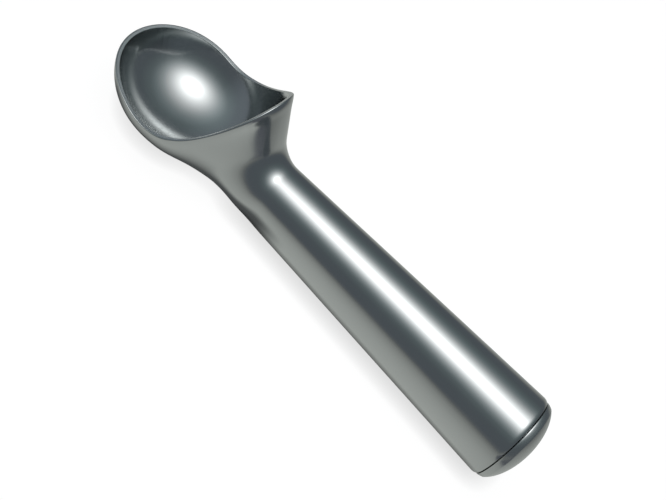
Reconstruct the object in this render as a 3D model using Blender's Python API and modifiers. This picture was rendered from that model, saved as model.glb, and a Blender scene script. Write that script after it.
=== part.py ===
# Ice cream scoop: a single aluminium casting of bowl, neck and hollow handle, closed at the butt by a domed
# cap with a seal ring, and charged with a heat-transfer liquid that warms the bowl from the hand.
# All lengths are in metres. The scoop is drawn with the handle's axis along X, the butt face at x = 0 and
# the bowl towards -X, opening upwards. It is then laid on the plane z = 0, on its belly and its butt.

from math import asin, cos, degrees, pi, radians, sin, sqrt, tan

import bmesh
import bpy
import numpy as np
from mathutils import Matrix

# Handle
BUTT_RADIUS = 0.016
HANDLE_TAPER = radians(2.58)
HANDLE_WALL = 0.0032
BUTT_EDGE_ROUND = 0.0014
BUTT_EDGE_TURN = radians(48)

# Bowl, measured from the butt face and from the handle's axis
BOWL_DISTANCE = 0.1461
BOWL_RADIUS = 0.0261
BOWL_WIDEST_HEIGHT = 0.010
BELLY_DEPTH = 0.020
FLOOR_THICKNESS = 0.0018

# Rim: low at the sides, a little higher at the front, rising to a peak at the back
RIM_LAND = 0.0011
RIM_EDGE_ROUND = 0.0003
RIM_SIDE_HEIGHT = 0.0050
RIM_FRONT_RISE = 0.00295
PEAK_HEIGHT = 0.0309
PEAK_SPREAD = radians(100)
PEAK_SHARPNESS = 2.45

# At the peak the land narrows and tips into the bowl, round to about this far on each side
PEAK_LAND = 0.0009
PEAK_LAND_DROP = 0.0015
PEAK_LAND_SPREAD = radians(75)

# Neck: the back wall leans from the peak down to the handle, as a rounded ridge
WALL_LEAN = radians(25)
RIDGE_RADIUS = 0.012
NECK_BLEND = 0.012
KEEL_START = 0.011
NECK_DISTANCE = 0.111

# Bore of the handle, with a plain recess at its mouth for the cap
BORE_END_GAP = 0.006
RECESS_RADIUS = 0.0119
RECESS_DEPTH = 0.0095
BORE_SHOULDER = 0.0010

# End cap
CAP_RADIUS = 0.0155
CAP_BEVEL_RADIUS = 0.0148
CAP_SHOULDER = 0.0011
CAP_BEVEL = 0.0012
CAP_DOME_RISE = 0.0050
CAP_DOME_INSET = 0.0036
CAP_EDGE_ROUND = 0.0002
SPIGOT_LENGTH = 0.0085
SPIGOT_CHAMFER = 0.0008
CAP_HOLLOW_RADIUS = 0.0060
CAP_HOLLOW_DEPTH = 0.0050

# Seal ring and the groove for it
SEAL_SECTION = 0.0020
SEAL_SETBACK = 0.0042
GROOVE_SIDE_GAP = 0.0003

# Liquid charge: the air space above it, measured at the bore's mouth, leaves it room to expand
AIR_SPACE = 0.0032

CLEARANCE = 0.0003

# Fineness of the faceted surfaces
AROUND = 64
OUTER_STATIONS = 30
HANDLE_STATIONS = 7
BUTT_EDGE_STATIONS = 3
INNER_STATIONS = 12
TURNED_STEPS = 48
DOME_STATIONS = 9
SEAL_SECTION_STEPS = 12

bowl_x = -BOWL_DISTANCE
neck_x = -NECK_DISTANCE
taper = tan(HANDLE_TAPER)
hump = PEAK_HEIGHT - RIM_SIDE_HEIGHT + RIM_FRONT_RISE
inner_radius = BOWL_RADIUS - RIM_LAND
inner_depth = BELLY_DEPTH - FLOOR_THICKNESS


def clear_scene():
    for obj in list(bpy.data.objects):
        bpy.data.objects.remove(obj, do_unlink=True)


def new_collection(name, hidden=False):
    collection = bpy.data.collections.new(name)
    collection.hide_render = hidden
    bpy.context.scene.collection.children.link(collection)
    return collection


def new_material(name, colour, roughness, metallic, alpha=1.0):
    material = bpy.data.materials.new(name)
    material.use_nodes = True
    shader = material.node_tree.nodes["Principled BSDF"]
    shader.inputs["Base Color"].default_value = (*colour, 1.0)
    shader.inputs["Roughness"].default_value = roughness
    shader.inputs["Metallic"].default_value = metallic
    shader.inputs["Alpha"].default_value = alpha
    return material


# Outlines of the casting

def handle_radius(x):
    return BUTT_RADIUS + x * taper


def butt_edge_x():
    """Where the rounding of the butt's edge starts."""
    return -BUTT_EDGE_ROUND * sin(BUTT_EDGE_TURN)


def bowl_section_radius(z):
    """Radius of the bowl's level section: a half ellipsoid below the widest level, straight above it."""
    drop = np.minimum(z - BOWL_WIDEST_HEIGHT, 0) / BELLY_DEPTH
    return BOWL_RADIUS * np.sqrt(np.maximum(1 - drop**2, 1e-9))


def rim_height(angle):
    """Height of the rim at an angle round the bowl: 0 at the peak, pi at the front."""
    turn = np.abs((angle + pi) % (2 * pi) - pi)
    front = -RIM_FRONT_RISE * np.sin(np.cos(turn) * pi / 2)
    rise = np.cos(np.minimum(turn / PEAK_SPREAD, 1) * pi / 2) ** PEAK_SHARPNESS
    return RIM_SIDE_HEIGHT + front + hump * rise


def near_peak(angle):
    """How much the rim's land has the peak's form: 1 at the peak, falling smoothly to 0."""
    turn = np.abs((angle + pi) % (2 * pi) - pi)
    return (1 + np.cos(np.minimum(turn / PEAK_LAND_SPREAD, 1) * pi)) / 2


def back_wall(z):
    """Where the back wall's ridge stands at a height: below the peak it leans towards the handle."""
    return bowl_x + BOWL_RADIUS + (PEAK_HEIGHT - z) * tan(WALL_LEAN)


def blended(a, b, width):
    """The larger of two fields, with the corner between them filled over the given width."""
    near = np.maximum(width - np.abs(a - b), 0) / width
    return np.maximum(a, b) + near**2 * width / 4


def eased(x, start, end, start_value, end_value, start_slope=0.0, end_slope=0.0):
    """Cubic from one outline to another, with the slope of each at its end."""
    span = end - start
    s = np.clip((x - start) / span, 0, 1)
    return (
        (2 * s**3 - 3 * s**2 + 1) * start_value
        + (s**3 - 2 * s**2 + s) * span * start_slope
        + (3 * s**2 - 2 * s**3) * end_value
        + (s**3 - s**2) * span * end_slope
    )


def keel_height(x):
    """The underside in the mirror plane: the belly's arc, a long sweep, and the handle's lower edge."""
    start = bowl_x + KEEL_START
    share = KEEL_START / BOWL_RADIUS
    start_height = BOWL_WIDEST_HEIGHT - BELLY_DEPTH * sqrt(1 - share**2)
    start_slope = BELLY_DEPTH * share / BOWL_RADIUS / sqrt(1 - share**2)
    across = np.clip((x - bowl_x) / BOWL_RADIUS, -1, 1)
    belly = BOWL_WIDEST_HEIGHT - BELLY_DEPTH * np.sqrt(1 - across**2)
    sweep = eased(x, start, neck_x, start_height, -handle_radius(neck_x), start_slope, -taper)
    return np.where(x < start, belly, np.where(x < neck_x, sweep, -handle_radius(x)))


def widest_height(x):
    """Height at which the casting is widest: falls from the bowl's widest level to the handle's axis."""
    return eased(x, bowl_x, neck_x, BOWL_WIDEST_HEIGHT, 0.0)


def upper_width_squared(x, z):
    """Half-width above the widest level: the bowl's circle drawn out to the ridge, joined to the handle."""
    radius = bowl_section_radius(z)
    ridge_x = back_wall(z) - RIDGE_RADIUS
    reach = ridge_x - bowl_x
    shrink = RIDGE_RADIUS - radius
    spare = reach**2 - shrink**2
    s = np.clip(((x - bowl_x) * reach + radius * shrink) / np.where(np.abs(spare) < 1e-12, 1e-12, spare), 0, 1)
    s = np.where(spare > 1e-12, s, 0)
    wall = (radius + shrink * s) ** 2 - (x - bowl_x - reach * s) ** 2
    buried = bowl_x + BOWL_RADIUS / 2
    handle = handle_radius(x) ** 2 - z**2 - 3 * np.minimum(x - buried, 0) ** 2
    return blended(wall, handle, NECK_BLEND**2)


def half_width(x, z):
    """Half-width of the casting at a point of the mirror plane."""
    keel = keel_height(x)
    level = widest_height(x)
    step = 0.00025
    widest = np.sqrt(np.maximum(upper_width_squared(x, level), 0))
    above = np.sqrt(np.maximum(upper_width_squared(x, level + step), 0))
    flare = np.clip((widest - above) / step, 0, 1.5)
    depth = np.maximum(level - keel, 1e-6)
    down = np.clip((level - z) / depth, 0, 1)
    lower = widest * np.sqrt(1 - down**2) + flare * depth * down * (1 - down) ** 2
    upper = np.sqrt(np.maximum(upper_width_squared(x, np.maximum(z, level)), 0))
    ball = np.sqrt(np.maximum(bowl_section_radius(z) ** 2 - (x - bowl_x) ** 2, 0))
    return np.where(x <= bowl_x, ball, np.where(z >= level, upper, lower))


# Sections of the casting, from the rim to the handle

def along(points, shares):
    """Points at the given shares of a polyline's length."""
    lengths = np.hypot(*np.diff(points, axis=0).T)
    travelled = np.concatenate([[0], np.cumsum(lengths)]) / lengths.sum()
    return np.stack([np.interp(shares, travelled, points[:, i]) for i in (0, 1)], axis=1)


def guide_lines(shares):
    """Where each section starts at the back and ends underneath, in the mirror plane."""
    end_x = back_wall(0) + NECK_BLEND
    corner_x = bowl_x + BOWL_RADIUS + (PEAK_HEIGHT - handle_radius(neck_x)) * tan(WALL_LEAN)
    back = np.array(
        [
            (back_wall(PEAK_HEIGHT), PEAK_HEIGHT),
            (corner_x, handle_radius(corner_x)),
            (end_x, handle_radius(end_x)),
        ]
    )
    tip_height = rim_height(pi)
    tip_x = bowl_x - bowl_section_radius(tip_height)
    low_x = np.concatenate(
        [bowl_x + (tip_x - bowl_x) * np.cos(np.linspace(0, pi / 2, 60)), np.linspace(bowl_x, end_x, 60)[1:]]
    )
    under = np.stack([low_x, keel_height(low_x)], axis=1)
    return along(back, shares), along(under, shares)


def on_back_wall(inside, guess):
    """Moves each guess along its line from inside the casting to where the half-width falls to nothing."""
    low, high = np.full(len(guess), 0.3), np.full(len(guess), 1.8)
    for _ in range(40):
        middle = (low + high) / 2
        x, z = (inside + (guess - inside) * middle[:, None]).T
        within = upper_width_squared(x, np.maximum(z, widest_height(x))) > 0
        low = np.where(within, middle, low)
        high = np.where(within, high, middle)
    return inside + (guess - inside) * low[:, None]


def outer_sections():
    """Closed sections of the outer skin: the saddle-shaped rim eases into the handle's flat circles."""
    angles = np.arange(AROUND) * 2 * pi / AROUND
    shares = np.linspace(0, 1, OUTER_STATIONS + 1)
    back, under = guide_lines(shares)
    back = on_back_wall((back + under) / 2, back)
    towards_back = ((1 + np.cos(angles)) / 2)[:, None]
    rim_radius = bowl_section_radius(rim_height(angles))
    rim = np.stack([bowl_x + rim_radius * np.cos(angles), rim_height(angles)], axis=1)
    sag = rim - (back[0] * towards_back + under[0] * (1 - towards_back))
    sections = []
    for share, top, bottom in zip(shares, back, under):
        line = top * towards_back + bottom * (1 - towards_back) + sag * eased(share, 0, 1, 1, 0)
        width = half_width(line[:, 0], line[:, 1])
        if share == 0:
            width = rim_radius * np.abs(np.sin(angles))
        ends = np.isclose(np.abs(np.cos(angles)), 1)
        side = np.where(ends, 0, width) * np.sign(np.sin(angles))
        sections.append(np.stack([line[:, 0], side, line[:, 1]], axis=1))
    return sections


def handle_sections(start_x):
    """Plain circles down the handle, and the rounded edge at the butt."""
    angles = np.arange(AROUND) * 2 * pi / AROUND
    edge_x = butt_edge_x()
    stations = [(x, handle_radius(x)) for x in np.linspace(start_x, edge_x, HANDLE_STATIONS + 1)[1:]]
    for turn in np.linspace(0, BUTT_EDGE_TURN, BUTT_EDGE_STATIONS + 1)[1:]:
        inward = BUTT_EDGE_ROUND * (1 - cos(turn))
        stations.append((edge_x + BUTT_EDGE_ROUND * sin(turn), handle_radius(edge_x) - inward))
    return [
        np.stack([np.full(AROUND, x), radius * np.sin(angles), radius * np.cos(angles)], axis=1)
        for x, radius in stations
    ]


def inner_sections():
    """Sections of the bowl's inside, from the rim's inner edge down towards the floor."""
    angles = np.arange(AROUND) * 2 * pi / AROUND
    height = rim_height(angles) - PEAK_LAND_DROP * near_peak(angles)
    thinner = (RIM_LAND - PEAK_LAND) * near_peak(angles)
    straight = np.maximum(height - BOWL_WIDEST_HEIGHT, 0)
    first_turn = np.arcsin(np.maximum(BOWL_WIDEST_HEIGHT - height, 0) / inner_depth)
    arc = inner_radius * (pi / 2 - first_turn)
    sections = []
    for share in np.linspace(0, 1, INNER_STATIONS + 1)[:-1]:
        travelled = share * (straight + arc)
        turn = first_turn + np.maximum(travelled - straight, 0) / inner_radius
        z = np.where(travelled < straight, height - travelled, BOWL_WIDEST_HEIGHT - inner_depth * np.sin(turn))
        radius = inner_radius * np.cos(turn) + thinner * (1 - share)
        sections.append(np.stack([bowl_x + radius * np.cos(angles), radius * np.sin(angles), z], axis=1))
    return sections


def rim_land(outer_edge, inner_edge):
    """Rings across the ground top of the rim, with both of its edges broken."""
    across = inner_edge - outer_edge
    across /= np.linalg.norm(across, axis=1)[:, None]
    down = np.array([0, 0, RIM_EDGE_ROUND])
    return (
        [outer_edge - down, outer_edge + across * RIM_EDGE_ROUND],
        [inner_edge - across * RIM_EDGE_ROUND, inner_edge - down],
    )


def loft(bm, sections):
    """Joins closed sections of equal count by quads, and returns the rings of vertices."""
    rings = [[bm.verts.new(point) for point in section] for section in sections]
    for first, second in zip(rings, rings[1:]):
        for i in range(len(first)):
            j = (i + 1) % len(first)
            bm.faces.new((first[i], second[i], second[j], first[j]))
    return rings


def close_end(bm, ring, centre):
    middle = bm.verts.new(centre)
    for i, vertex in enumerate(ring):
        bm.faces.new((vertex, ring[(i + 1) % len(ring)], middle))


def mesh_object(name, bm, collection, material):
    bmesh.ops.recalc_face_normals(bm, faces=bm.faces)
    mesh = bpy.data.meshes.new(name)
    bm.to_mesh(mesh)
    bm.free()
    mesh.shade_smooth()
    mesh.set_sharp_from_angle(angle=radians(35))
    obj = bpy.data.objects.new(name, mesh)
    collection.objects.link(obj)
    if material:
        mesh.materials.append(material)
    return obj


def turned(name, profile, collection, material=None):
    """A shape turned about the X axis from (x, radius) points, listed from its bowl end to its butt end."""
    bm = bmesh.new()
    # The screw turns about Z, so the profile stands upright here and the finished object is laid along X.
    points = [bm.verts.new((radius, 0, x)) for x, radius in profile]
    for first, second in zip(points, points[1:]):
        bm.edges.new((first, second))
    mesh = bpy.data.meshes.new(name)
    bm.to_mesh(mesh)
    bm.free()
    obj = bpy.data.objects.new(name, mesh)
    collection.objects.link(obj)
    screw = obj.modifiers.new("Turn", "SCREW")
    screw.axis = "Z"
    screw.steps = TURNED_STEPS
    screw.render_steps = TURNED_STEPS
    screw.use_merge_vertices = True
    screw.merge_threshold = 0.00001
    screw.use_normal_flip = True
    obj.matrix_world = Matrix.Rotation(pi / 2, 4, "Y")
    if material:
        mesh.materials.append(material)
    return obj


def arc_points(centre, radius, start, end, steps):
    """Points of an arc in the (x, radius) plane; angles are measured from the +X direction."""
    turns = [start + (end - start) * i / steps for i in range(steps + 1)]
    return [(centre[0] + radius * cos(turn), centre[1] + radius * sin(turn)) for turn in turns]


# Bore

def bore_end():
    """Where the bore stops, a wall's thickness behind the bowl."""
    return bowl_x + BOWL_RADIUS + BORE_END_GAP


def bore_radius(x):
    return handle_radius(x) - HANDLE_WALL / cos(HANDLE_TAPER)


def bore_profile(offset=0.0):
    """Half-profile of the bore, from its round end to where it opens into the recess."""
    tip_radius = bore_radius(bore_end()) - offset
    centre = (bore_end() + tip_radius + offset, 0)
    points = arc_points(centre, tip_radius, pi, pi / 2 + HANDLE_TAPER, 8)
    points[0] = (points[0][0], 0)
    mouth = -RECESS_DEPTH - BORE_SHOULDER - offset
    points.append((mouth, bore_radius(mouth) - offset))
    return points


def make_bore_cutter(cutters):
    profile = bore_profile()
    profile += [(-RECESS_DEPTH, RECESS_RADIUS), (BUTT_EDGE_ROUND, RECESS_RADIUS), (BUTT_EDGE_ROUND, 0)]
    cutter = turned("bore_cutter", profile, cutters)
    cutter.hide_render = True
    cutter.display_type = "WIRE"
    return cutter


def cut(obj, cutter):
    boolean = obj.modifiers.new(cutter.name, "BOOLEAN")
    boolean.operation = "DIFFERENCE"
    boolean.solver = "EXACT"
    boolean.object = cutter


# Pieces

def make_scoop_body(parts, cutters):
    outer = outer_sections()
    inner = inner_sections()
    outer_land, inner_land = rim_land(outer[0], inner[0])
    sections = inner[:0:-1] + inner_land[::-1] + outer_land[::-1] + outer[1:]
    sections += handle_sections(outer[-1][0][0])
    bm = bmesh.new()
    rings = loft(bm, sections)
    close_end(bm, rings[0], (bowl_x, 0, BOWL_WIDEST_HEIGHT - inner_depth))
    close_end(bm, rings[-1], (0, 0, 0))
    aluminium = new_material("cast_aluminium", (0.60, 0.61, 0.62), 0.28, 1.0)
    body = mesh_object("scoop_body", bm, parts, aluminium)
    cut(body, make_bore_cutter(cutters))
    return body


def spigot_radius():
    return RECESS_RADIUS - CLEARANCE


def groove_radius():
    return RECESS_RADIUS - 2 * CLEARANCE - SEAL_SECTION


def seal_x():
    return -SEAL_SETBACK


def make_end_cap(parts):
    dome_base = CAP_SHOULDER + CAP_BEVEL
    # The dome is the end of a flat ellipsoid whose widest level lies inside the handle.
    dome_height = CAP_DOME_RISE + CAP_DOME_INSET
    dome_width = CAP_BEVEL_RADIUS / sqrt(1 - (CAP_DOME_INSET / dome_height) ** 2)
    dome_turn = asin(CAP_DOME_INSET / dome_height)
    half_groove = SEAL_SECTION / 2 + GROOVE_SIDE_GAP
    edge = CAP_EDGE_ROUND
    end_x = -SPIGOT_LENGTH
    profile = [
        (end_x + CAP_HOLLOW_DEPTH, 0),
        (end_x + CAP_HOLLOW_DEPTH, CAP_HOLLOW_RADIUS),
        (end_x, CAP_HOLLOW_RADIUS),
        (end_x, spigot_radius() - SPIGOT_CHAMFER),
        (end_x + SPIGOT_CHAMFER, spigot_radius()),
        (seal_x() - half_groove, spigot_radius()),
        (seal_x() - half_groove, groove_radius()),
        (seal_x() + half_groove, groove_radius()),
        (seal_x() + half_groove, spigot_radius()),
        (CLEARANCE, spigot_radius()),
    ]
    profile += arc_points((CLEARANCE + edge, CAP_RADIUS - edge), edge, pi, pi / 2, 3)
    profile += [(CAP_SHOULDER, CAP_RADIUS)]
    for turn in np.linspace(dome_turn, pi / 2, DOME_STATIONS + 1)[:-1]:
        profile.append((dome_base - CAP_DOME_INSET + dome_height * sin(turn), dome_width * cos(turn)))
    profile.append((dome_base + CAP_DOME_RISE, 0))
    aluminium = new_material("turned_aluminium", (0.62, 0.63, 0.63), 0.24, 1.0)
    return turned("end_cap", profile, parts, aluminium)


def make_seal_ring(parts):
    """Ring in the cap's groove, between the groove's floor and the recess's wall."""
    rubber = new_material("nitrile_rubber", (0.02, 0.02, 0.02), 0.6, 0.0)
    section = SEAL_SECTION / 2
    ring_radius = RECESS_RADIUS - CLEARANCE - section
    bpy.ops.mesh.primitive_torus_add(
        major_radius=ring_radius,
        minor_radius=section,
        major_segments=TURNED_STEPS,
        minor_segments=SEAL_SECTION_STEPS,
    )
    ring = bpy.context.object
    ring.name = ring.data.name = "cap_o_ring"
    for collection in list(ring.users_collection):
        collection.objects.unlink(ring)
    parts.objects.link(ring)
    ring.matrix_world = Matrix.Translation((seal_x(), 0, 0)) @ Matrix.Rotation(pi / 2, 4, "Y")
    ring.data.shade_smooth()
    ring.data.materials.append(rubber)
    return ring


def lying_tilt():
    """Turn about Y that brings the belly and the butt's lower edge to one level."""
    tilt = 0.0
    butt_x = butt_edge_x()
    butt_z = BUTT_EDGE_ROUND - handle_radius(butt_x)
    for _ in range(20):
        belly_reach = sqrt((BELLY_DEPTH * cos(tilt)) ** 2 + (BOWL_RADIUS * sin(tilt)) ** 2)
        belly = -bowl_x * sin(tilt) + BOWL_WIDEST_HEIGHT * cos(tilt) - belly_reach
        butt = -butt_x * sin(tilt) + butt_z * cos(tilt) - BUTT_EDGE_ROUND
        tilt += (butt - belly) / BOWL_DISTANCE
    return tilt


def make_liquid(parts, cutters):
    """The charge in the bore, with a level free surface when the scoop lies on its belly."""
    end_x = -RECESS_DEPTH - CLEARANCE
    profile = bore_profile(CLEARANCE)
    last = profile[-1]
    profile += [(end_x, last[1]), (end_x, 0)]
    liquid_material = new_material("heat_transfer_liquid", (0.55, 0.72, 0.75), 0.05, 0.0, alpha=0.5)
    liquid = turned("heat_transfer_fluid", profile, parts, liquid_material)
    length = 2 * BOWL_DISTANCE
    surface = bore_radius(end_x) - AIR_SPACE
    bpy.ops.mesh.primitive_cube_add(size=length)
    air = bpy.context.object
    air.name = "air_space_cutter"
    for collection in list(air.users_collection):
        collection.objects.unlink(air)
    cutters.objects.link(air)
    turn_back = Matrix.Rotation(-lying_tilt(), 4, "Y")
    lift = Matrix.Translation((end_x, 0, surface)) @ turn_back
    air.matrix_world = lift @ Matrix.Translation((0, 0, length / 2))
    air.hide_render = True
    air.display_type = "WIRE"
    cut(liquid, air)
    return liquid


def lay_down(pieces, cutters):
    """Hangs every piece on one empty, which lays the scoop on z = 0 with its box centred on the origin."""
    lying = bpy.data.objects.new("lying_on_belly", None)
    bpy.context.scene.collection.objects.link(lying)
    for obj in pieces + list(cutters.objects):
        obj.parent = lying
    lying.rotation_euler = (0, lying_tilt(), 0)
    bpy.context.view_layer.update()
    graph = bpy.context.evaluated_depsgraph_get()
    corners = []
    for obj in pieces:
        shape = obj.evaluated_get(graph)
        corners += [obj.matrix_world @ vertex.co for vertex in shape.data.vertices]
    low = np.min(corners, axis=0)
    high = np.max(corners, axis=0)
    lying.location = (-(low[0] + high[0]) / 2, 0, -low[2])
    bpy.context.view_layer.update()
    print("tilt", round(degrees(lying.rotation_euler.y), 4), "location", [round(v, 6) for v in lying.location])
    print("size", [round(v, 5) for v in high - low])


def main():
    clear_scene()
    parts = new_collection("ice_cream_scoop")
    cutters = new_collection("cutters", hidden=True)
    pieces = [
        make_scoop_body(parts, cutters),
        make_end_cap(parts),
        make_seal_ring(parts),
        make_liquid(parts, cutters),
    ]
    lay_down(pieces, cutters)


main()
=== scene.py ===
import math

import bmesh
import bpy
import numpy as np
from mathutils import Matrix, Vector


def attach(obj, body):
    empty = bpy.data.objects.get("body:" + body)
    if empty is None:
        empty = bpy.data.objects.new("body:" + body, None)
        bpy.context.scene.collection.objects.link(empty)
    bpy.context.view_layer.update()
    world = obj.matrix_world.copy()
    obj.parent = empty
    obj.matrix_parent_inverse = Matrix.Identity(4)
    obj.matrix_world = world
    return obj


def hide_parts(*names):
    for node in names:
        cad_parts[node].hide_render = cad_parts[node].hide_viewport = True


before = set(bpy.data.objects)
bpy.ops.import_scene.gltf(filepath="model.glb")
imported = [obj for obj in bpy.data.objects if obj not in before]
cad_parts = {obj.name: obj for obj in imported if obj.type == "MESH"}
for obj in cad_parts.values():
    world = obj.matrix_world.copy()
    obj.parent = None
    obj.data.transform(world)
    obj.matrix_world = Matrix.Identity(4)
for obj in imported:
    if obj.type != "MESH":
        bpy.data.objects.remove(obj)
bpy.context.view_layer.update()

mm = 0.001

# The scoop is drawn in millimetres, with its handle along X, the butt face at x = 0 and the bowl
# towards -X, then laid on its belly and butt where the CAD has it.
lying = {"tilt": math.radians(-2.3393), "shift": Vector((0.082461, 0, 0.015982))}  # shift in metres


def toWorld():
    turn = Matrix.Rotation(lying["tilt"], 4, "Y")
    return Matrix.Translation(lying["shift"]) @ turn @ Matrix.Scale(mm, 4)


def linearColour(hexCode):
    parts = [int(hexCode[i : i + 2], 16) / 255 for i in (1, 3, 5)]
    return [p / 12.92 if p <= 0.04045 else ((p + 0.055) / 1.055) ** 2.4 for p in parts] + [1]


def addNode(tree, kind, links=None, **settings):
    node = tree.nodes.new(kind)
    for name, value in settings.items():
        setattr(node, name, value)
    for socket, value in (links or {}).items():
        if isinstance(value, bpy.types.NodeSocket):
            tree.links.new(value, node.inputs[socket])
        else:
            node.inputs[socket].default_value = value
    return node


def emptyMaterial(name):
    material = bpy.data.materials.new(name)
    material.use_nodes = True
    material.node_tree.nodes.clear()
    return material


# Metals

noiseRange = (0.3, 0.7)  # where most of a noise texture's values lie

polish = {
    "colour": "#BFC2C2",  # darker than bare aluminium, so that the room it mirrors can be lighter
    "roughness": 0.14,
    "lineBlur": (-0.02, 0.03),  # what the polishing lines take from the roughness and add to it
    "lineLength": 22,  # mm, along the casting
    "lineSpacing": 0.5,  # mm, real ones are finer and would not show
    "lineDepth": 0.0006,  # mm
    "smudgeBlur": 0.04,  # what handling adds to the roughness at most
    "smudgeRange": (0.35, 0.7),  # noise values from the clean to the most handled skin
    "smudgeSize": 14,  # mm
    "waveSize": 18,  # mm, the soft waviness that polishing leaves on a casting
    "waveDepth": 0.004,  # mm
}
ground = {"colour": "#E2E4E4", "roughness": 0.38}
turned = {"colour": "#BFC2C2", "roughness": 0.24}
asCast = {"colour": "#8A8C8C", "roughness": 0.6}


def polishedCastAluminium():
    # Cast aluminium, belt polished and buffed: sharp mirror images that blur a little along faint lines
    material = emptyMaterial("polishedCastAluminium")
    tree = material.node_tree
    grain = addNode(tree, "ShaderNodeAttribute", attribute_name="grain")
    place = addNode(tree, "ShaderNodeTexCoord").outputs["Object"]
    perLine = (1 / polish["lineLength"], 1 / polish["lineSpacing"], 1 / polish["lineSpacing"])
    stretched = addNode(
        tree, "ShaderNodeMapping", {"Vector": grain.outputs["Vector"], "Scale": perLine}
    )
    lines = addNode(
        tree, "ShaderNodeTexNoise", {"Vector": stretched.outputs[0], "Scale": 1, "Detail": 2}
    )
    smudges = addNode(
        tree,
        "ShaderNodeTexNoise",
        {"Vector": place, "Scale": 1 / (polish["smudgeSize"] * mm), "Detail": 3},
    )
    waves = addNode(
        tree,
        "ShaderNodeTexNoise",
        {"Vector": place, "Scale": 1 / (polish["waveSize"] * mm), "Detail": 0},
    )
    lineRoughness = addNode(
        tree,
        "ShaderNodeMapRange",
        {
            0: lines.outputs[0],
            1: noiseRange[0],
            2: noiseRange[1],
            3: polish["roughness"] + polish["lineBlur"][0],
            4: polish["roughness"] + polish["lineBlur"][1],
        },
    )
    handled = addNode(
        tree,
        "ShaderNodeMapRange",
        {
            0: smudges.outputs[0],
            1: polish["smudgeRange"][0],
            2: polish["smudgeRange"][1],
            3: 0.0,
            4: polish["smudgeBlur"],
        },
    )
    roughness = addNode(
        tree, "ShaderNodeMath", {0: lineRoughness.outputs[0], 1: handled.outputs[0]}, operation="ADD"
    )
    waveBump = addNode(
        tree,
        "ShaderNodeBump",
        {"Strength": 1, "Distance": polish["waveDepth"] * mm, "Height": waves.outputs[0]},
    )
    lineBump = addNode(
        tree,
        "ShaderNodeBump",
        {
            "Strength": 1,
            "Distance": polish["lineDepth"] * mm,
            "Height": lines.outputs[0],
            "Normal": waveBump.outputs[0],
        },
    )
    shader = addNode(
        tree,
        "ShaderNodeBsdfPrincipled",
        {
            "Base Color": linearColour(polish["colour"]),
            "Metallic": 1,
            "Roughness": roughness.outputs[0],
            "Normal": lineBump.outputs[0],
        },
    )
    addNode(tree, "ShaderNodeOutputMaterial", {"Surface": shader.outputs[0]})
    return material


def plainMetal(name, finish):
    material = emptyMaterial(name)
    tree = material.node_tree
    shader = addNode(
        tree,
        "ShaderNodeBsdfPrincipled",
        {
            "Base Color": linearColour(finish["colour"]),
            "Metallic": 1,
            "Roughness": finish["roughness"],
        },
    )
    addNode(tree, "ShaderNodeOutputMaterial", {"Surface": shader.outputs[0]})
    return material


def groundAluminium():
    # The rim's edge, ground flat: paler and satin, so it draws an even light line round the bowl
    return plainMetal("groundAluminium", ground)


def turnedAluminium():
    # Bar turned in a lathe and rubbed down: the casting's grey with softer mirror images
    return plainMetal("turnedAluminium", turned)


def asCastAluminium():
    # The bore as it leaves the mould: darker and dull, without mirror images
    return plainMetal("asCastAluminium", asCast)


# Casting: bowl, neck and hollow handle in one. Lengths are in millimetres, heights from the handle's
# axis and distances from the butt face.

casting = {
    "buttRadius": 16,
    "taper": math.tan(math.radians(2.58)),  # of each side of the handle
    "handleWall": 3.2,
    "buttEdgeRound": 3.0,
    "buttEdgeTurn": math.radians(32),  # how far that round turns before the butt face cuts it
    "buttEdgeStep": 0.15,
    "bowlDistance": 146.1,
    "bowlRadius": 26.1,
    "widestHeight": 10,
    "bellyDepth": 20,  # below the widest height
    "floorThickness": 1.8,
    # the rim has a polished outer round, then a ground land that slopes inwards to a finer inner round
    "rimLand": 1.1,
    "outerRound": 0.46,
    "innerRound": 0.15,
    "roundGap": 0.04,  # from a round to the land's own rings
    "rimInnerDrop": 0.2,
    "rimSideHeight": 5.0,
    "rimFrontRise": 2.95,
    "peakHeight": 30.9,
    "peakSpread": math.radians(100),  # the turn from the peak to where its rise ends
    "peakSharpness": 2.45,
    # near the peak the land is narrower and steeper, and the wall's lip bends in
    "peakLand": 0.9,
    "peakLandDrop": 1.5,
    "peakLandSpread": math.radians(75),
    "peakDrawIn": 0.6,
    "peakDrawDepth": 2.2,
    "insideEasing": 5.0,  # over which the ball's curve runs into the straight back wall
    "wallLean": math.tan(math.radians(25)),
    "ridgeRadius": 12,  # of the back wall's rounded ridge
    "neckBlend": 12,  # size of the fillet between the ridge and the handle
    "coneEndFade": 3,  # how fast the handle's cone closes inside the bowl's wall
    "steepestFlare": 1.5,  # sideways for each millimetre down
    "flareStep": 0.25,  # over which the flare of the skin is measured
    "keelStart": 11,  # behind the bowl's middle, where the belly runs out into the neck
    "neckDistance": 111,  # where the neck becomes the handle's cone
    # the neck's underside is drawn in a little where the cone begins
    "waistDistance": 117,
    "waistLift": 2.6,
    "waistLength": 8,
    "boreEndGap": 6,  # from the bowl's widest circle to the end of the bore
    "boreEndTurn": 1.4,  # radians, how far the bore's round end is drawn before its pole
    "recessRadius": 11.9,  # the cap's spigot sits in this recess
    "recessDepth": 9.5,
    "recessShoulder": 1,
    "mouthChamfer": (0.3, 0.4),  # along and across
    # how finely it is drawn
    "around": 160,
    "alongNeck": 96,
    "alongHandle": 24,
    "alongInside": 44,
    "edgeSteps": 6,
    "boreSteps": 12,
    "boreEndSteps": 8,
    "relaxedHandle": 4,  # rings of the handle that are evened out with the neck
    "handleEndGap": 0.5,  # from the last ring of the handle to the butt's round
    # shares of the way at which the corner, a ring beside it and the first even ring lie
    "outerStart": (0, 0.008, 0.016),
    "innerStart": (0, 0.02, 0.035),
    "innerEnd": 0.985,
}
bowlX = -casting["bowlDistance"]
neckX = -casting["neckDistance"]
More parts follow.
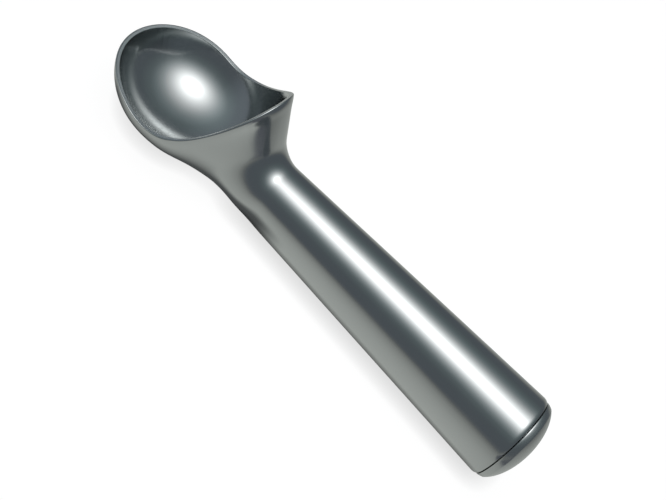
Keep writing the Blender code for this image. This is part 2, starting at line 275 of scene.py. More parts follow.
boreEndX = bowlX + casting["bowlRadius"] + casting["boreEndGap"]
buttEdgeX = -casting["buttEdgeRound"] * math.sin(casting["buttEdgeTurn"])


def handleRadius(x):
    return casting["buttRadius"] + x * casting["taper"]


def bowlRadiusAt(z):
    drop = np.minimum(z - casting["widestHeight"], 0) / casting["bellyDepth"]
    return casting["bowlRadius"] * np.sqrt(np.maximum(1 - drop**2, 1e-9))  # nearly nothing at the bottom


def fromPeak(angle):
    # how far a direction round the bowl is turned away from the peak, 0 to pi
    return np.abs((angle + math.pi) % (2 * math.pi) - math.pi)


def rimHeight(angle):
    # level at the sides, a low rise at the front and the peak at the back
    turn = fromPeak(angle)
    front = -casting["rimFrontRise"] * np.sin(np.cos(turn) * math.pi / 2)
    share = np.minimum(turn / casting["peakSpread"], 1)
    peak = np.cos(share * math.pi / 2) ** casting["peakSharpness"]
    hump = casting["peakHeight"] - casting["rimSideHeight"] + casting["rimFrontRise"]
    return casting["rimSideHeight"] + front + hump * peak


def nearPeak(angle):
    # 1 at the peak, easing to 0 where its narrower land ends
    return (1 + np.cos(np.minimum(fromPeak(angle) / casting["peakLandSpread"], 1) * math.pi)) / 2


def backWall(z):
    # where the leaning back wall stands at a height
    return bowlX + casting["bowlRadius"] + (casting["peakHeight"] - z) * casting["wallLean"]


def neckEndX():
    return backWall(0) + casting["neckBlend"]


def eased(x, start, end, startValue, endValue, startSlope=0.0, endSlope=0.0):
    span = end - start
    s = np.clip((x - start) / span, 0, 1)
    ends = (2 * s**3 - 3 * s**2 + 1) * startValue + (3 * s**2 - 2 * s**3) * endValue
    return ends + ((s**3 - 2 * s**2 + s) * startSlope + (s**3 - s**2) * endSlope) * span


def keelHeight(x):
    # the lowest line: round the belly, through the neck's waist and along the handle
    depth, radius = casting["bellyDepth"], casting["bowlRadius"]
    start = bowlX + casting["keelStart"]
    share = casting["keelStart"] / radius
    rest = math.sqrt(1 - share**2)
    across = np.clip((x - bowlX) / radius, -1, 1)
    belly = casting["widestHeight"] - depth * np.sqrt(1 - across**2)
    sweep = eased(
        x,
        start,
        neckX,
        casting["widestHeight"] - depth * rest,
        -handleRadius(neckX),
        depth * share / radius / rest,
        -casting["taper"],
    )
    fromWaist = (x + casting["waistDistance"]) / casting["waistLength"]
    waist = casting["waistLift"] * np.exp(-(fromWaist**2))
    return np.where(x < start, belly, np.where(x < neckX, sweep, -handleRadius(x))) + waist


def widestLevel(x):
    return eased(x, bowlX, neckX, casting["widestHeight"], 0.0)


def upperWidthSquared(x, z):
    # above the widest level: the bowl's circle drawn out to the leaning ridge, filled against the handle
    radius = bowlRadiusAt(z)
    ridge = casting["ridgeRadius"]
    reach = backWall(z) - ridge - bowlX
    shrink = ridge - radius
    spare = reach**2 - shrink**2
    least = 1e-6  # with no more to spare than this, the ridge's circle lies inside the bowl's
    divisor = np.where(np.abs(spare) < least, least, spare)
    s = np.clip(((x - bowlX) * reach + radius * shrink) / divisor, 0, 1)
    s = np.where(spare > least, s, 0)
    wall = (radius + shrink * s) ** 2 - (x - bowlX - reach * s) ** 2
    coneEnd = bowlX + casting["bowlRadius"] / 2
    cone = handleRadius(x) ** 2 - z**2 - casting["coneEndFade"] * np.minimum(x - coneEnd, 0) ** 2
    # the larger of the two, with a fillet where they are nearly alike
    width = casting["neckBlend"] ** 2
    near = np.maximum(width - np.abs(wall - cone), 0) / width
    return np.maximum(wall, cone) + near**2 * width / 4


def halfWidth(x, z):
    # half the width of the skin at a place along the scoop and a height
    keel, level, step = keelHeight(x), widestLevel(x), casting["flareStep"]
    widest = np.sqrt(np.maximum(upperWidthSquared(x, level), 0))
    above = np.sqrt(np.maximum(upperWidthSquared(x, level + step), 0))
    flare = np.clip((widest - above) / step, 0, casting["steepestFlare"])
    depth = np.maximum(level - keel, 1e-3)  # never nothing, as it is divided by
    down = np.clip((level - z) / depth, 0, 1)
    lower = widest * np.sqrt(1 - down**2) + flare * depth * down * (1 - down) ** 2
    upper = np.sqrt(np.maximum(upperWidthSquared(x, np.maximum(z, level)), 0))
    ball = np.sqrt(np.maximum(bowlRadiusAt(z) ** 2 - (x - bowlX) ** 2, 0))
    return np.where(x <= bowlX, ball, np.where(z >= level, upper, lower))


def along(points, shares):
    # the places on a line of points at some shares of its length
    lengths = np.hypot(*np.diff(points, axis=0).T)
    travelled = np.concatenate([[0], np.cumsum(lengths)]) / lengths.sum()
    return np.stack([np.interp(shares, travelled, points[:, i]) for i in (0, 1)], axis=1)


def backLine(shares):
    # from the peak down the back wall, then along the top of the handle
    cornerX = bowlX + casting["bowlRadius"]
    cornerX += (casting["peakHeight"] - handleRadius(neckX)) * casting["wallLean"]
    corners = [
        (backWall(casting["peakHeight"]), casting["peakHeight"]),
        (cornerX, handleRadius(cornerX)),
        (neckEndX(), handleRadius(neckEndX())),
    ]
    return along(np.array(corners), shares)


def underLine(shares, arcPoints=200, keelPoints=300):
    # from the rim's tip round the belly, then along the keel
    tipX = bowlX - bowlRadiusAt(rimHeight(math.pi))
    arc = bowlX + (tipX - bowlX) * np.cos(np.linspace(0, math.pi / 2, arcPoints))
    lowX = np.concatenate([arc, np.linspace(bowlX, neckEndX(), keelPoints)[1:]])
    return along(np.stack([lowX, keelHeight(lowX)], axis=1), shares)


def ontoSkin(inside, outside, nearest=0.3, farthest=1.8, halvings=40):
    # moves the outside points along their lines from the inside ones until they lie on the skin
    low, high = np.full(len(outside), nearest), np.full(len(outside), farthest)
    for _ in range(halvings):
        middle = (low + high) / 2
        x, z = (inside + (outside - inside) * middle[:, None]).T
        within = upperWidthSquared(x, np.maximum(z, widestLevel(x))) > 0
        low, high = np.where(within, middle, low), np.where(within, high, middle)
    return inside + (outside - inside) * low[:, None]


def outerSections(angles, shares):
    # sections of the outer skin, which is a saddle at the rim and ends as the handle's circle
    back, under = backLine(shares), underLine(shares)
    back = ontoSkin((back + under) / 2, back)
    towardsBack = ((1 + np.cos(angles)) / 2)[:, None]
    radius = bowlRadiusAt(rimHeight(angles))
    rim = np.stack([bowlX + radius * np.cos(angles), rimHeight(angles)], axis=1)
    sag = rim - (back[0] * towardsBack + under[0] * (1 - towardsBack))
    sections = []
    for share, top, bottom in zip(shares, back, under):
        line = top * towardsBack + bottom * (1 - towardsBack) + sag * eased(share, 0, 1, 1, 0)
        width = halfWidth(line[:, 0], line[:, 1])
        if share == 0:
            width = radius * np.abs(np.sin(angles))
        ends = np.isclose(np.abs(np.cos(angles)), 1)
        side = np.where(ends, 0, width) * np.sign(np.sin(angles))
        sections.append(np.stack([line[:, 0], side, line[:, 1]], axis=1))
    return np.array(sections)


def drawnIn(rings, angles):
    # the lip of the back wall bends in a little over its last few millimetres
    steps = np.linalg.norm(np.diff(rings, axis=0), axis=2)
    travelled = np.concatenate([np.zeros((1, len(angles))), np.cumsum(steps, axis=0)])
    left = np.maximum(1 - travelled / casting["peakDrawDepth"], 0) ** 2
    rings = rings.copy()
    rings[:, :, 0] -= casting["peakDrawIn"] * nearPeak(angles) * left
    return rings


def insideCurve(travelled):
    # radius and height of the bowl's inside, by length from the widest level down; the ball's curve
    # eases into the straight wall above it
    radius = casting["bowlRadius"] - casting["rimLand"]
    depth = casting["bellyDepth"] - casting["floorThickness"]
    curved = (travelled + np.sqrt(travelled**2 + casting["insideEasing"] ** 2)) / 2
    turn = np.minimum(curved / radius, math.pi / 2)
    height = casting["widestHeight"] - depth * np.sin(turn) - (travelled - curved)
    return radius * np.cos(turn), height


def insideLength():
    # along the inside, from the widest level down to the middle of the floor
    radius = casting["bowlRadius"] - casting["rimLand"]
    return radius * math.pi / 2 - casting["insideEasing"] ** 2 / (2 * math.pi * radius)


def innerSections(angles, shares, samples=2000):
    # sections of the bowl's inside, from the land's inner edge down to the floor
    near = nearPeak(angles)
    height = rimHeight(angles) - casting["rimInnerDrop"] - casting["peakLandDrop"] * near
    last = insideLength()
    lengths = np.linspace(last, -casting["peakHeight"], samples)
    start = np.interp(height, insideCurve(lengths)[1], lengths)
    shift = -casting["peakDrawIn"] * near + (casting["rimLand"] - casting["peakLand"]) * near
    sections = []
    for share in shares:
        r, z = insideCurve(start + share * (last - start))
        r = r + shift * (1 - share)
        sections.append(np.stack([bowlX + r * np.cos(angles), r * np.sin(angles), z], axis=1))
    return np.array(sections)


def roundedCorner(corner, first, second, radius, steps=8):
    # rings of a quadratic curve that rounds a corner ring off towards two neighbouring rings
    a = (first - corner) / np.linalg.norm(first - corner, axis=1)[:, None]
    b = (second - corner) / np.linalg.norm(second - corner, axis=1)[:, None]
    shares = np.linspace(0, 1, steps)
    return [corner + a * radius * (1 - s) ** 2 + b * radius * s**2 for s in shares]


def relaxed(rings, keepEnd, keepStart=1, fadeRings=8, rounds=10):
    # evens out the skin between its fixed ends, so that mirror images run smoothly over it
    rings = rings.copy()
    weight = np.ones(len(rings))
    weight[:keepStart] = 0
    weight[-keepEnd:] = 0
    weight[keepStart : keepStart + fadeRings] = np.linspace(0, 1, fadeRings)
    weight = weight[1:-1, None, None]
    for _ in range(rounds):
        average = (rings[:-2] + rings[2:]) / 4
        average += (np.roll(rings, 1, axis=1)[1:-1] + np.roll(rings, -1, axis=1)[1:-1]) / 4
        rings[1:-1] += (average - rings[1:-1]) * weight * 0.5  # half of the way each round
    return rings


def circleRings(angles, profile):
    return [
        np.stack([np.full(len(angles), x), r * np.sin(angles), r * np.cos(angles)], axis=1)
        for x, r in profile
    ]


def buttProfile():
    # x and radius, round the butt's edge and across its face to the recess
    big, side = casting["buttEdgeRound"], handleRadius(buttEdgeX)
    turns = np.linspace(0, casting["buttEdgeTurn"], casting["edgeSteps"])
    profile = [(buttEdgeX + big * math.sin(t), side - big * (1 - math.cos(t))) for t in turns]
    profile.append((0, profile[-1][1] - casting["buttEdgeStep"]))
    profile.append((0, casting["recessRadius"] + casting["mouthChamfer"][1]))
    return profile


def boreProfile():
    # x and radius, into the recess, along the bore and round its end
    mouth, depth, wall = casting["recessRadius"], casting["recessDepth"], casting["handleWall"]
    shoulder = -depth - casting["recessShoulder"]
    tip = handleRadius(boreEndX) - wall
    bore = np.linspace(shoulder, boreEndX + tip, casting["boreSteps"])
    turns = np.linspace(0, casting["boreEndTurn"], casting["boreEndSteps"])[1:]
    profile = [(-casting["mouthChamfer"][0], mouth), (-depth, mouth)]
    profile += [(x, handleRadius(x) - wall) for x in bore]
    profile += [(boreEndX + tip - tip * math.sin(t), tip * math.cos(t)) for t in turns]
    return profile


def ringShares(start, end, count):
    return np.concatenate([start[:2], np.linspace(start[2], end, count)])


def castingRings(angles):
    # every ring from the bowl's floor over the rim, along the handle and into the bore, each with
    # the material slot of the faces that end on it
    polishedSlot, groundSlot, asCastSlot = range(3)
    outerShares = ringShares(casting["outerStart"], 1, casting["alongNeck"])
    innerShares = ringShares(casting["innerStart"], casting["innerEnd"], casting["alongInside"])
    outer = drawnIn(outerSections(angles, outerShares), angles)
    inner = innerSections(angles, innerShares)

    handleEnd = buttEdgeX - casting["handleEndGap"]
    handleX = np.linspace(outer[-1][0][0], handleEnd, casting["alongHandle"] + 1)[1:]
    handle = circleRings(angles, [(x, handleRadius(x)) for x in handleX])
    skin = relaxed(np.concatenate([outer[2:], handle]), len(handle) - casting["relaxedHandle"])

    across = inner[0] - outer[0]
    across /= np.linalg.norm(across, axis=1)[:, None]
    outerEdge = roundedCorner(outer[0], outer[1], inner[0], casting["outerRound"])
    innerEdge = roundedCorner(inner[0], outer[0], inner[1], casting["innerRound"])
    land = [
        outer[0] + across * (casting["outerRound"] + casting["roundGap"]),
        inner[0] - across * (casting["innerRound"] + casting["roundGap"]),
    ]
    groups = [
        (inner[:0:-1], polishedSlot),
        (innerEdge[::-1], polishedSlot),
        (land[::-1], groundSlot),
        (outerEdge[::-1], polishedSlot),
        (skin, polishedSlot),
        (circleRings(angles, buttProfile()), polishedSlot),
        (circleRings(angles, boreProfile()), asCastSlot),
    ]
    rings = [ring for group, slot in groups for ring in group]
    slots = [slot for group, slot in groups for ring in group]
    return rings, slots


def paintFaces(made, slot):
    for item in made:
        if isinstance(item, bmesh.types.BMFace):
            item.material_index = slot


def loftRings(bm, rings, slots):
    # a circle extruded ring by ring, each new ring set on its section
    verts = bmesh.ops.create_circle(bm, segments=len(rings[0]), radius=1)["verts"]
    firstEdges = edges = list(bm.edges)
    for vert, point in zip(verts, rings[0]):
        vert.co = point
    for ring, slot in zip(rings[1:], slots[1:]):
        made = bmesh.ops.extrude_edge_only(bm, edges=edges)["geom"]
        paintFaces(made, slot)
        fresh = {item for item in made if isinstance(item, bmesh.types.BMVert)}
        edges = [e for e in made if isinstance(e, bmesh.types.BMEdge) and fresh.issuperset(e.verts)]
        verts = [next(e.other_vert(v) for e in v.link_edges if e.other_vert(v) in fresh) for v in verts]
        for vert, point in zip(verts, ring):
            vert.co = point
    return firstEdges, edges


def closePole(bm, edges, point, slot):
    made = bmesh.ops.extrude_edge_only(bm, edges=edges)["geom"]
    paintFaces(made, slot)
    fresh = [item for item in made if isinstance(item, bmesh.types.BMVert)]
    bmesh.ops.pointmerge(bm, verts=fresh, merge_co=point)


def finishPiece(name, bm, materials):
    bmesh.ops.transform(bm, matrix=toWorld(), verts=bm.verts)
    bmesh.ops.recalc_face_normals(bm, faces=bm.faces)
    mesh = bpy.data.meshes.new(name)
    bm.to_mesh(mesh)
    bm.free()
    mesh.shade_smooth()
    piece = bpy.data.objects.new(name, mesh)
    bpy.context.scene.collection.objects.link(piece)
    for material in materials:
        mesh.materials.append(material)
    return piece


def writeGrain(piece, rings, angles):
    # what the polishing lines follow: the way along the skin, and the place round the butt's circle
    steps = np.linalg.norm(np.diff(np.array(rings), axis=0), axis=2).mean(axis=1)
    travelled = np.concatenate([[0], np.cumsum(steps)])
    radius, count = casting["buttRadius"], len(rings) * len(angles)
    values = np.zeros((len(piece.data.vertices), 3), np.float32)
    values[:count, 0] = np.repeat(travelled, len(angles))
    values[:count, 1] = np.tile(radius * np.cos(angles), len(rings))
    values[:count, 2] = np.tile(radius * np.sin(angles), len(rings))
    grain = piece.data.attributes.new("grain", "FLOAT_VECTOR", "POINT")
    grain.data.foreach_set("vector", values.ravel())


def makeCasting():
    angles = np.arange(casting["around"]) * 2 * math.pi / casting["around"]
    rings, slots = castingRings(angles)
    bm = bmesh.new()
    firstEdges, lastEdges = loftRings(bm, rings, slots)
    floorHeight = insideCurve(insideLength())[1]
    closePole(bm, firstEdges, Vector((bowlX, 0, floorHeight)), slots[0])
    closePole(bm, lastEdges, Vector((boreEndX, 0, 0)), slots[-1])
    finishes = [polishedCastAluminium(), groundAluminium(), asCastAluminium()]
    piece = finishPiece("scoop_casting", bm, finishes)
    writeGrain(piece, rings, angles)
    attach(piece, "root")
    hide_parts("scoop_body")
    print("casting", len(piece.data.polygons), "faces")


makeCasting()

# End cap, turned from bar; millimetres, from the butt face

endCap = {
    "radius": 15.5,
    "bevelRadius": 14.95,
    "shoulder": 1.1,
    "bevel": 1.2,
    "bandCurve": 1.5,  # the higher, the later the band curves in
    "domeRise": 5.0,
    "domeInset": 3.6,
    "backX": 0.3,
    "seamRound": ((0, 0.25), (0.06, 0.08), (0.2, 0)),  # along the cap, in from its side
    "turnedLine": (0.05, 0.14),  # along and deep
    "turnedLineTurn": 0.03,  # radians of the dome that it takes
    "spigotLength": 8.5,
    "spigotRadius": 11.6,
    "spigotChamfer": 0.8,
    "grooveRadius": 9.3,
    "groove": (-5.5, -2.9),
    "hollowRadius": 6,
    "hollowDepth": 5,
    "hollowChamfer": 0.2,
    "steps": 160,
    "bandSteps": 8,
    "domeSteps": 30,
    "mergeDistance": 0.0005,
    "sharpAngle": math.radians(40),
}


def spigotProfile():
    # x and radius, from the hollow's floor round the spigot and its groove to the seam
    end, hollow = -endCap["spigotLength"], endCap["hollowRadius"]
    spigot, back = endCap["spigotRadius"], endCap["backX"]
    floorX, inset = end + endCap["hollowDepth"], endCap["hollowChamfer"]
    first, last = endCap["groove"]
    profile = [(floorX, 0), (floorX, hollow - inset), (floorX - inset, hollow), (end, hollow)]
    profile += [(end, spigot - endCap["spigotChamfer"]), (end + endCap["spigotChamfer"], spigot)]
    profile += [(first, spigot), (first, endCap["grooveRadius"])]
    profile += [(last, endCap["grooveRadius"]), (last, spigot), (back, spigot)]
    return profile + [(back + x, endCap["radius"] - inwards) for x, inwards in endCap["seamRound"]]


def domeProfile():
    # x and radius, along the curved band, across a fine turned line, then over the dome
    base = endCap["shoulder"] + endCap["bevel"]
    height = endCap["domeRise"] + endCap["domeInset"]
    inset = endCap["domeInset"] / height
    width = endCap["bevelRadius"] / math.sqrt(1 - inset**2)
    back, seam = endCap["backX"], endCap["seamRound"][-1][0]
    taken = endCap["radius"] - endCap["bevelRadius"]
    lineWidth, lineDepth = endCap["turnedLine"]
    profile = []
    for t in np.linspace(0, 1, endCap["bandSteps"]):
        x = (back + seam) + (base - back - seam) * t
        profile.append((x, endCap["radius"] - taken * t ** endCap["bandCurve"]))
    profile.append((base + lineWidth, endCap["bevelRadius"] - lineDepth))
    start = math.asin(inset) + endCap["turnedLineTurn"]
    for turn in np.linspace(start, math.pi / 2, endCap["domeSteps"])[:-1]:
        profile.append((base - endCap["domeInset"] + height * math.sin(turn), width * math.cos(turn)))
    return profile + [(base + endCap["domeRise"], 0)]


def makeEndCap():
    bm = bmesh.new()
    verts = [bm.verts.new((x, 0, r)) for x, r in spigotProfile() + domeProfile()]
    for a, b in zip(verts, verts[1:]):
        bm.edges.new((a, b))
    bmesh.ops.spin(
        bm,
        geom=bm.verts[:] + bm.edges[:],
        axis=(1, 0, 0),
        cent=(0, 0, 0),
        angle=2 * math.pi,
        steps=endCap["steps"],
        use_merge=True,
    )
    bmesh.ops.remove_doubles(bm, verts=bm.verts, dist=endCap["mergeDistance"])
    piece = finishPiece("end_cap_dome", bm, [turnedAluminium()])
    piece.data.set_sharp_from_angle(angle=endCap["sharpAngle"])
    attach(piece, "root")
    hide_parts("end_cap")
    print("end cap", len(piece.data.polygons), "faces")


makeEndCap()

# Seal ring and liquid, which stay as the CAD made them and are only dressed

sealing = {
    "colour": "#1B1C1D",
    "roughness": 0.55,
    "ior": 1.52,
    "grain": 0.4,  # mm
    "grainDepth": 0.01,  # mm
}
liquid = {
    "colour": "#A9D3D8",
    "roughness": 0.03,  # where it is clearest, and twice that in its clouds
    "ior": 1.38,
    "clearness": 0.9,
    "cloud": 9.0,  # mm
}


def nitrileRubber():
    # Moulded nitrile rubber: near black and dull, with a fine matt grain from the mould
    material = emptyMaterial("nitrileRubber")
    tree = material.node_tree
    place = addNode(tree, "ShaderNodeTexCoord").outputs["Object"]
    grain = addNode(
        tree, "ShaderNodeTexNoise", {"Vector": place, "Scale": 1 / (sealing["grain"] * mm), "Detail": 2}
    )
    bump = addNode(
        tree, "ShaderNodeBump", {"Distance": sealing["grainDepth"] * mm, "Height": grain.outputs[0]}
    )
    shader = addNode(
        tree,
        "ShaderNodeBsdfPrincipled",
        {
            "Base Color": linearColour(sealing["colour"]),
            "Roughness": sealing["roughness"],
            "IOR": sealing["ior"],
            "Normal": bump.outputs[0],
        },
    )
    addNode(tree, "ShaderNodeOutputMaterial", {"Surface": shader.outputs[0]})
    return material


def glycolMix():
    # Water and glycol: clear, a little blue-green and wet, with faint clouds where it has settled
    material = emptyMaterial("glycolMix")
    tree = material.node_tree
    place = addNode(tree, "ShaderNodeTexCoord").outputs["Object"]
    clouds = addNode(
        tree, "ShaderNodeTexNoise", {"Vector": place, "Scale": 1 / (liquid["cloud"] * mm), "Detail": 1}
    )
    wetness = addNode(
        tree,
        "ShaderNodeMapRange",
        {
            0: clouds.outputs[0],
            1: noiseRange[0],
            2: noiseRange[1],
            3: liquid["roughness"],
            4: liquid["roughness"] * 2,
        },
    )
    shader = addNode(
        tree,
        "ShaderNodeBsdfPrincipled",
        {
            "Base Color": linearColour(liquid["colour"]),
            "Roughness": wetness.outputs[0],
            "IOR": liquid["ior"],
            "Transmission Weight": liquid["clearness"],
        },
    )
    addNode(tree, "ShaderNodeOutputMaterial", {"Surface": shader.outputs[0]})
    return material


def dressNode(name, material):
    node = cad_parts[name]
    node.data.materials.clear()
    node.data.materials.append(material)
    print(name, "wears", material.name)


dressNode("cap_o_ring", nitrileRubber())
dressNode("heat_transfer_fluid", glycolMix())

# Floor, light and camera, in metres

studio = {
    "floorRadius": 9,
    "floorSegments": 96,
    "floorColour": "#F2F2F2",
    "floorWhite": 1.07,  # what the camera sees of the table's own glow
    "floorGlow": 0.9,  # share of the table's white that is this glow
    "contactReach": 0.006,  # how far the tight shadow under the scoop reaches
    "contactSeen": 0.7,  # its darkest tone, as the camera sees it
    "contactSamples": 8,
    # painted shade: the table as the metal mirrors it is darker away from the scoop; half the size of its
    # pale middle, then distance and tone
    "nearHalf": (0.07, 0.016, 1),
    "dimming": ((0.0, 0.58), (0.02, 0.5), (0.05, 0.405), (0.13, 0.3), (0.4, 0.2)),
    "mirroredTint": (0.985, 1.02, 0.965),
    # painted reflection: beyond the butt a dark patch is painted into the table as the metal mirrors it,
    # and the neck mirrors it as an upright dark band
    "stretch": {"centre": (0.42, -0.075, 0), "half": (0.29, 0.05, 1), "fade": 0.02},
    "paintedBandColour": (0.075, 0.082, 0.105, 1),
    # painted shadow: the shade under the belly is painted into the table as the metal mirrors it
    "belly": {"centre": (-0.052, 0.002, 0), "half": (0.03, 0.017, 1), "fade": 0.014},
    "bellyShadowColour": (0.09, 0.095, 0.095, 1),
    "lampSize": (3.94, 3.2),  # along the scoop and across it
    "lampPlace": (-0.03, -0.09, 1.0),
    "lampPower": 122.0,
    "lampFade": 6.0,  # how fast it falls off from its middle
    # the room as the metal mirrors it: sine of the elevation, colour
    "sky": (
        (0.0, "#727678"),
        (0.05, "#686D71"),
        (0.12, "#5F656B"),
        (0.45, "#5F666B"),
        (0.65, "#677174"),
        (0.8, "#748083"),
        (1.0, "#8C9092"),
    ),
    # it is paler beyond the bowl: share along X, brightness
    "paleSide": {"from": -0.25, "to": -0.9, "gain": 1.7},
}


def boxDistance(tree, place, centre, half):
    # how far a point of the table lies outside a box
    kind = "ShaderNodeVectorMath"
    offset = addNode(tree, kind, {0: place, 1: centre}, operation="SUBTRACT")
    folded = addNode(tree, kind, {0: offset.outputs[0]}, operation="ABSOLUTE")
    beyond = addNode(tree, kind, {0: folded.outputs[0], 1: half}, operation="SUBTRACT")
    outside = addNode(tree, kind, {0: beyond.outputs[0], 1: (0, 0, 0)}, operation="MAXIMUM")
    return addNode(tree, kind, {0: outside.outputs[0]}, operation="LENGTH").outputs["Value"]


def mixedColours(tree, share, first, second):
    # a mix node keeps its two colours in sockets 6 and 7
    mix = addNode(tree, "ShaderNodeMix", {0: share, 6: first, 7: second}, data_type="RGBA")
    return mix.outputs[2]


def patchOver(tree, place, patch, patchColour, under):
    # a soft-edged patch of one colour laid over what is under it
    far = boxDistance(tree, place, patch["centre"], patch["half"])
    share = addNode(
        tree, "ShaderNodeMapRange", {0: far, 1: 0.0, 2: patch["fade"]}, interpolation_type="SMOOTHSTEP"
    )
    return mixedColours(tree, share.outputs[0], patchColour, under)


def filledRamp(tree, share, stops):
    # a colour ramp with one element for each stop: place, colour
    node = addNode(tree, "ShaderNodeValToRGB", {0: share})
    elements = node.color_ramp.elements
    while len(elements) > 1:
        elements.remove(elements[-1])
    elements[0].position, elements[0].color = stops[0]
    for position, colour in stops[1:]:
        elements.new(position).color = colour
    return node


def paintedMirroredTable(tree, place):
    # painted shade: duller than the table that the camera sees and darker away from the scoop, with a
    # painted shadow under the belly and a painted dark patch for the neck's mirrored band
    far = boxDistance(tree, place, (0, 0, 0), studio["nearHalf"])
    reach, tint = studio["dimming"][-1][0], studio["mirroredTint"]
    share = addNode(tree, "ShaderNodeMath", {0: far, 1: reach}, operation="DIVIDE")
    stops = [
        (distance / reach, [tone * part for part in tint] + [1])
        for distance, tone in studio["dimming"]
    ]
    table = filledRamp(tree, share.outputs[0], stops).outputs["Color"]
    # painted reflection: the dark patch beyond the butt, which the neck mirrors as its dark band
    table = patchOver(tree, place, studio["stretch"], studio["paintedBandColour"], table)
    # painted shadow under the belly
    return patchOver(tree, place, studio["belly"], studio["bellyShadowColour"], table)


def paleTable():
    # Matt white board: flat and even where it is looked at, with a tight soft shadow round the scoop
    material = emptyMaterial("paleTable")
    tree = material.node_tree
    path = addNode(tree, "ShaderNodeLightPath")
    mirror = path.outputs["Is Glossy Ray"]
    seen = path.outputs["Is Camera Ray"]
    for ray in (mirror, path.outputs["Is Transmission Ray"]):
        seen = addNode(tree, "ShaderNodeMath", {0: seen, 1: ray}, operation="MAXIMUM").outputs[0]
    place = addNode(tree, "ShaderNodeTexCoord").outputs["Object"]
    white = [studio["floorWhite"]] * 3 + [1]
    # the camera sees the table white, and the metal mirrors it with its painted shade and patches
    tone = mixedColours(tree, mirror, white, paintedMirroredTable(tree, place))
    contact = addNode(
        tree,
        "ShaderNodeAmbientOcclusion",
        {"Distance": studio["contactReach"]},
        samples=studio["contactSamples"],
    ).outputs["AO"]
    softer = addNode(tree, "ShaderNodeMapRange", {0: contact, 3: studio["contactSeen"]})
    shadow = addNode(
        tree, "ShaderNodeMix", {0: mirror, 2: softer.outputs[0], 3: contact}, data_type="FLOAT"
    )
    paint = addNode(tree, "ShaderNodeBsdfDiffuse", {"Color": linearColour(studio["floorColour"])})
    glow = addNode(tree, "ShaderNodeEmission", {"Color": tone, "Strength": shadow.outputs[0]})
    share = addNode(tree, "ShaderNodeMath", {0: seen, 1: studio["floorGlow"]}, operation="MULTIPLY")
    mix = addNode(
        tree, "ShaderNodeMixShader", {0: share.outputs[0], 1: paint.outputs[0], 2: glow.outputs[0]}
    )
    addNode(tree, "ShaderNodeOutputMaterial", {"Surface": mix.outputs[0]})
    return material


def makeFloor():
    bm = bmesh.new()
    segments, radius = studio["floorSegments"], studio["floorRadius"]
    bmesh.ops.create_circle(bm, cap_ends=True, segments=segments, radius=radius)
    mesh = bpy.data.meshes.new("floor")
    bm.to_mesh(mesh)
    bm.free()
    floor = bpy.data.objects.new("floor", mesh)
    bpy.context.scene.collection.objects.link(floor)
    mesh.materials.append(paleTable())


def makeWorld():
    # white where it is looked at, and a dim room for the metal to mirror
    world = bpy.data.worlds.new("studio")
    bpy.context.scene.world = world
    world.use_nodes = True
    tree = world.node_tree
    tree.nodes.clear()
    direction = addNode(tree, "ShaderNodeTexCoord").outputs["Generated"]
    split = addNode(tree, "ShaderNodeSeparateXYZ", {0: direction})
    stops = [(height, linearColour(colour)) for height, colour in studio["sky"]]
    ramp = filledRamp(tree, split.outputs["Z"], stops)
    ramp.color_ramp.interpolation = "EASE"
    pale = studio["paleSide"]
    gain = addNode(
        tree,
        "ShaderNodeMapRange",
        {0: split.outputs["X"], 1: pale["from"], 2: pale["to"], 3: 1.0, 4: pale["gain"]},
        interpolation_type="SMOOTHSTEP",
    )
    room = addNode(
        tree, "ShaderNodeBackground", {"Color": ramp.outputs["Color"], "Strength": gain.outputs[0]}
    )
    path = addNode(tree, "ShaderNodeLightPath")
    seen = addNode(
        tree,
        "ShaderNodeMath",
        {0: path.outputs["Is Camera Ray"], 1: path.outputs["Is Transmission Ray"]},
        operation="MAXIMUM",
    )
    backdrop = addNode(tree, "ShaderNodeBackground", {"Color": (1, 1, 1, 1), "Strength": 1})
    view = addNode(
        tree, "ShaderNodeMixShader", {0: seen.outputs[0], 1: room.outputs[0], 2: backdrop.outputs[0]}
    )
    addNode(tree, "ShaderNodeOutputWorld", {"Surface": view.outputs[0]})


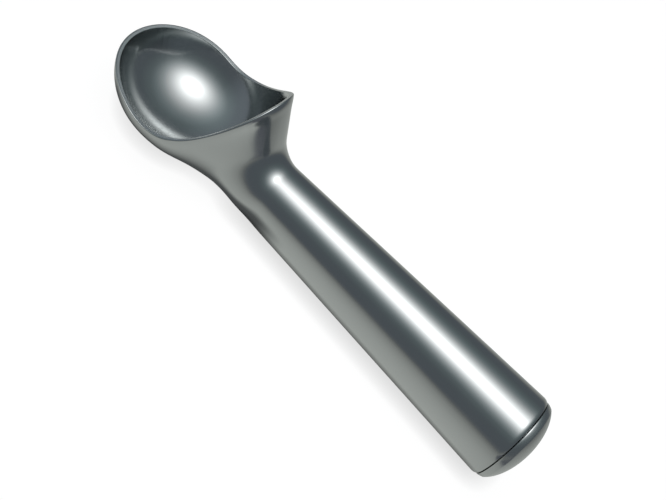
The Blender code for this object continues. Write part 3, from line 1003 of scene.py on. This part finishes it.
def makeLamp():
    # one wide soft lamp overhead, brightest in its middle, as a bulb behind a diffuser
    light = bpy.data.lights.new("softbox", "AREA")
    light.shape = "ELLIPSE"
    light.size, light.size_y = studio["lampSize"]
    light.energy = studio["lampPower"]
    light.use_nodes = True
    tree = light.node_tree
    tree.nodes.clear()
    kind = "ShaderNodeVectorMath"
    across = addNode(tree, "ShaderNodeNewGeometry").outputs["Parametric"]
    offset = addNode(tree, kind, {0: across, 1: (0.5, 0.5, 0)}, operation="SUBTRACT")
    flat = addNode(tree, kind, {0: offset.outputs[0], 1: (2, 2, 0)}, operation="MULTIPLY")
    out = addNode(tree, kind, {0: flat.outputs[0]}, operation="LENGTH").outputs["Value"]
    left = addNode(tree, "ShaderNodeMath", {0: 1.0, 1: out}, operation="SUBTRACT", use_clamp=True)
    fade = addNode(tree, "ShaderNodeMath", {0: left.outputs[0], 1: studio["lampFade"]}, operation="POWER")
    shine = addNode(tree, "ShaderNodeEmission", {"Color": (1, 1, 1, 1), "Strength": fade.outputs[0]})
    addNode(tree, "ShaderNodeOutputLight", {"Surface": shine.outputs[0]})
    lamp = bpy.data.objects.new("softbox", light)
    lamp.location = studio["lampPlace"]
    bpy.context.scene.collection.objects.link(lamp)


camera = {
    "place": Vector((0.01116, -0.28347, 0.28206)),
    "right": Vector((0.6792, 0.5148, 0.5231)),
    "up": Vector((-0.7336, 0.4545, 0.5053)),
    "lens": 67.5676,  # mm
    "sensor": 36,  # mm
    "near": 0.01,
    "far": 50,
}


def makeCamera():
    data = bpy.data.cameras.new("camera")
    data.lens = camera["lens"]
    data.sensor_width = camera["sensor"]
    data.clip_start = camera["near"]
    data.clip_end = camera["far"]
    view = bpy.data.objects.new("camera", data)
    bpy.context.scene.collection.objects.link(view)
    right, up = camera["right"].normalized(), camera["up"].normalized()
    turn = Matrix((right, up, right.cross(up))).transposed().to_4x4()
    view.matrix_world = Matrix.Translation(camera["place"]) @ turn
    bpy.context.scene.camera = view


makeFloor()
makeWorld()
makeLamp()
makeCamera()
bpy.context.scene.view_settings.view_transform = "Standard"
print("studio ready")
